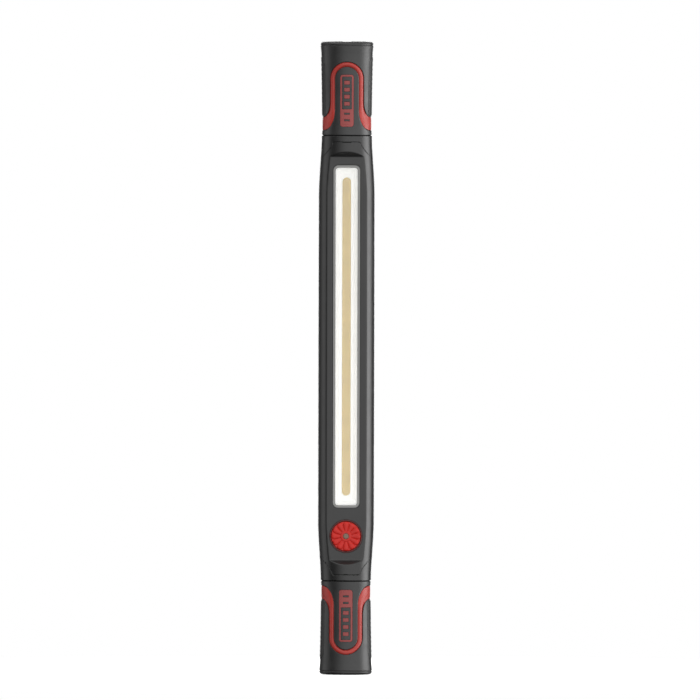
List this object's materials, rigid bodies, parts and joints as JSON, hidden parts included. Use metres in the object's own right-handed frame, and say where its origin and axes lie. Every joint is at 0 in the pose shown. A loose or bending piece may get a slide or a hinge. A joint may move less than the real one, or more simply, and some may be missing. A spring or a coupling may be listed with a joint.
{
  "type": "work light",
  "caption": "Slim rechargeable bar work light with a long window, a push button, and a swivelling grip with a folding hook and magnet at each end.",
  "frame": {"origin": "middle of the bottom end face, on the lamp's long axis", "axes": "+Z along the lamp from the button's end to the other end, -Y the way the window faces, +X to the right seen from the front"},
  "size_m": [0.036, 0.0349, 0.405],
  "materials": {
    "shell": "matte",
    "bezel": "satin",
    "lens": "gloss",
    "tray": "satin",
    "led_board": "satin",
    "phosphor": "satin",
    "heat_sink": "satin",
    "steel": "satin",
    "black_steel": "satin",
    "circuit_board": "satin",
    "chip": "satin",
    "coil": "satin",
    "switch": "satin",
    "button": "satin",
    "button_seal": "matte",
    "light_pipe": "satin",
    "led": "gloss",
    "cell": "satin",
    "cradle": "matte",
    "nickel": "satin",
    "red_wire": "satin",
    "black_wire": "satin",
    "port_rubber": "matte",
    "pivot_plastic": "satin",
    "thrust_plastic": "satin",
    "grip_red": "satin",
    "grip_rubber": "matte",
    "badge_red": "satin",
    "bumper_rubber": "matte",
    "magnet": "polished"
  },
  "bodies": {
    "light_body": {"front_cover": "shell", "rear_shell": "shell", "window_bezel": "bezel", "window_lens": "lens", "reflector_tray": "tray", "led_board": "led_board", "led_strip": "phosphor", "heat_sink": "heat_sink", "led_screws": "steel", "driver_board": "circuit_board", "driver_chips": "chip", "driver_coil": "coil", "board_screws": "steel", "switch_body": "switch", "button_seal": "button_seal", "indicator_led": "led", "lower_cell": "cell", "upper_cell": "cell", "cell_cradle": "cradle", "cell_tabs": "nickel", "battery_leads": "red_wire", "led_leads": "black_wire", "charge_leads": "red_wire", "charge_board": "circuit_board", "charge_socket": "steel", "case_screws": "black_steel", "bottom_pivot": "pivot_plastic", "bottom_thrust_ring": "thrust_plastic", "bottom_swivel_washer": "steel", "bottom_swivel_screw": "steel", "top_pivot": "pivot_plastic", "top_thrust_ring": "thrust_plastic", "top_swivel_washer": "steel", "top_swivel_screw": "steel"},
    "power_button": {"power_button": "button", "button_light_pipe": "light_pipe"},
    "switch_plunger": {"switch_plunger": "switch"},
    "port_cover": {"port_cover": "port_rubber"},
    "bottom_grip": {"bottom_grip_core": "grip_red", "bottom_grip_sleeve": "grip_rubber", "bottom_grip_collar": "grip_rubber", "bottom_grip_pads": "grip_rubber", "bottom_grip_badge": "badge_red", "bottom_bumper": "bumper_rubber", "bottom_end_cap": "pivot_plastic", "bottom_end_screws": "black_steel", "bottom_magnet": "magnet", "bottom_hook_pin": "steel"},
    "bottom_hook": {"bottom_hook": "steel"},
    "top_grip": {"top_grip_core": "grip_red", "top_grip_sleeve": "grip_rubber", "top_grip_collar": "grip_rubber", "top_grip_pads": "grip_rubber", "top_grip_badge": "badge_red", "top_bumper": "bumper_rubber", "top_end_cap": "pivot_plastic", "top_end_screws": "black_steel", "top_magnet": "magnet", "top_hook_pin": "steel"},
    "top_hook": {"top_hook": "steel"}
  },
  "joints": [
    {"name": "button_press", "type": "slide", "parent": "light_body", "child": "power_button", "axis": [0, 1, 0], "range_m": [0, 0.0008], "stiffness_N_per_m": 2000},
    {"name": "plunger_press", "type": "slide", "parent": "light_body", "child": "switch_plunger", "axis": [0, 1, 0], "range_m": [0, 0.0008]},
    {"name": "port_cover_hinge", "type": "hinge", "parent": "light_body", "child": "port_cover", "pos_m": [0, 0.0164, 0.091], "axis": [1, 0, 0], "range_deg": [0, 95]},
    {"name": "bottom_grip_swivel", "type": "hinge", "parent": "light_body", "child": "bottom_grip", "pos_m": [0, 0, 0.057], "axis": [0, 0, 1], "continuous": true},
    {"name": "bottom_hook_fold", "type": "hinge", "parent": "bottom_grip", "child": "bottom_hook", "pos_m": [0, 0.0115, 0.011], "axis": [-1, 0, 0], "range_deg": [0, 180]},
    {"name": "top_grip_swivel", "type": "hinge", "parent": "light_body", "child": "top_grip", "pos_m": [0, 0, 0.348], "axis": [0, 0, 1], "continuous": true},
    {"name": "top_hook_fold", "type": "hinge", "parent": "top_grip", "child": "top_hook", "pos_m": [0, 0.0115, 0.394], "axis": [1, 0, 0], "range_deg": [0, 180]}
  ],
  "couplings": [
    {"joint": "plunger_press", "follows": "button_press", "ratio": 1}
  ]
}
